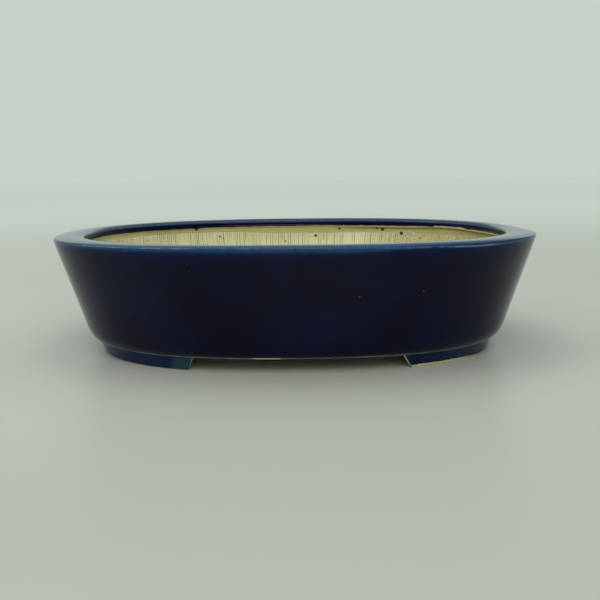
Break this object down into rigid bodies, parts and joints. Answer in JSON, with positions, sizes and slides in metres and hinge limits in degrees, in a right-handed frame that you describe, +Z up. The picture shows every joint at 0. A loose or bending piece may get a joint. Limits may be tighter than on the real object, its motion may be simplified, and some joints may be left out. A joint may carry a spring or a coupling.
{
  "type": "bonsai pot",
  "caption": "Shallow oval glazed bonsai pot with a flared wall, a broad flat rim turned inwards, a drained floor and C-shaped end feet.",
  "frame": {"origin": "on the ground, below the middle of the pot", "axes": "+X along the long axis, +Y across the pot to the back, +Z up out of the open top"},
  "size_m": [0.275, 0.218, 0.066],
  "materials": {
    "fired_clay": "unglazed, matt and slightly gritty",
    "cobalt_glaze": "glossy cobalt blue, thinner and lighter on the edges"
  },
  "bodies": {
    "root": {"wall": "fired_clay", "floor_slab": "fired_clay", "rim_lip": "fired_clay", "foot_left": "fired_clay", "foot_right": "fired_clay", "glaze_coat": "cobalt_glaze", "glaze_foot_left": "cobalt_glaze", "glaze_foot_right": "cobalt_glaze"}
  },
  "joints": []
}
